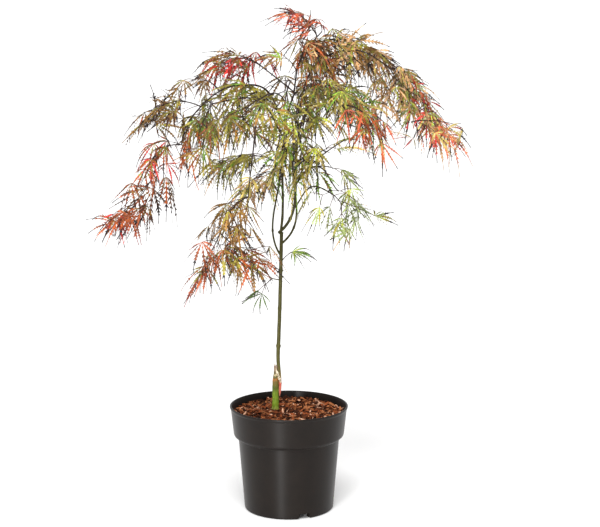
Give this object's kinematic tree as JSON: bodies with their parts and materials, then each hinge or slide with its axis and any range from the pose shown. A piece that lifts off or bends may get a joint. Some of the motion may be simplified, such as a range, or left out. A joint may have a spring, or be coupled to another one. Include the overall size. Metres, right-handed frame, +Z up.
{
  "type": "potted japanese maple",
  "caption": "Weeping Japanese maple with finely cut autumn leaves on arching boughs over a thin grafted trunk, in a round nursery pot topped with bark mulch.",
  "frame": {"origin": "on the ground under the middle of the pot, on the flat middle of its underside", "axes": "+Z up along the trunk, +X to the plant's right and +Y to its back, seen from its front"},
  "size_m": [0.5968, 0.4307, 0.8065],
  "materials": {
    "pot_plastic": "moulded, satin, near black",
    "bark_mulch": "damp red-brown bark chips",
    "green_bark": "smooth young green bark",
    "shoot_bark": "smooth dark purple-brown shoots",
    "green_leaves": "thin matt leaf, olive green",
    "bronze_leaves": "thin matt leaf, bronze",
    "red_leaves": "thin matt leaf, coral red"
  },
  "bodies": {
    "root": {"leaves_back_crown": "green_leaves", "leaves_back_left": "green_leaves", "leaves_back_low_left": "green_leaves", "leaves_back_low_right": "green_leaves", "leaves_back_right": "green_leaves", "leaves_coral_fan": "red_leaves", "leaves_far_left": "bronze_leaves", "leaves_far_left_low": "bronze_leaves", "leaves_far_right": "bronze_leaves", "leaves_far_right_tip": "red_leaves", "leaves_front_crown": "green_leaves", "leaves_front_left": "green_leaves", "leaves_inner_left": "green_leaves", "leaves_left_arch": "bronze_leaves", "leaves_left_orange_fan": "red_leaves", "leaves_left_red_fan": "red_leaves", "leaves_left_shoulder": "bronze_leaves", "leaves_lower_left": "bronze_leaves", "leaves_lower_left_tip": "bronze_leaves", "leaves_lower_middle": "bronze_leaves", "leaves_lower_right_fan": "green_leaves", "leaves_lower_right_shoulder": "bronze_leaves", "leaves_right_cascade": "bronze_leaves", "leaves_right_dome": "bronze_leaves", "leaves_right_inner": "green_leaves", "leaves_right_low": "green_leaves", "leaves_top_crown": "bronze_leaves", "leaves_top_left": "bronze_leaves", "leaves_top_red": "red_leaves", "leaves_trunk_bright": "green_leaves", "leaves_trunk_left": "green_leaves", "leaves_trunk_right": "green_leaves", "leaves_upper_left": "bronze_leaves", "limb_back_bough": "shoot_bark", "limb_back_left_bough": "shoot_bark", "limb_back_low_left_bough": "shoot_bark", "limb_back_low_right_bough": "shoot_bark", "limb_back_right_bough": "shoot_bark", "limb_front_bough": "shoot_bark", "limb_front_left_bough": "shoot_bark", "limb_left_arch_fall": "shoot_bark", "limb_left_arch_rise": "shoot_bark", "limb_left_hanging_shoot": "shoot_bark", "limb_left_leader": "shoot_bark", "limb_left_middle_bough": "shoot_bark", "limb_left_side_stem": "shoot_bark", "limb_lower_right_bough": "shoot_bark", "limb_right_arch_fall": "shoot_bark", "limb_right_arch_rise": "shoot_bark", "limb_right_front_bough": "shoot_bark", "limb_right_leader": "shoot_bark", "limb_right_low_bough": "shoot_bark", "limb_right_side_stem": "shoot_bark", "limb_top_right_bough": "shoot_bark", "limb_top_shoot": "shoot_bark", "limb_trunk_twig": "shoot_bark", "limb_upper_left_bough": "shoot_bark", "pot": "pot_plastic", "soil": "bark_mulch", "trunk": "green_bark"}
  },
  "joints": []
}
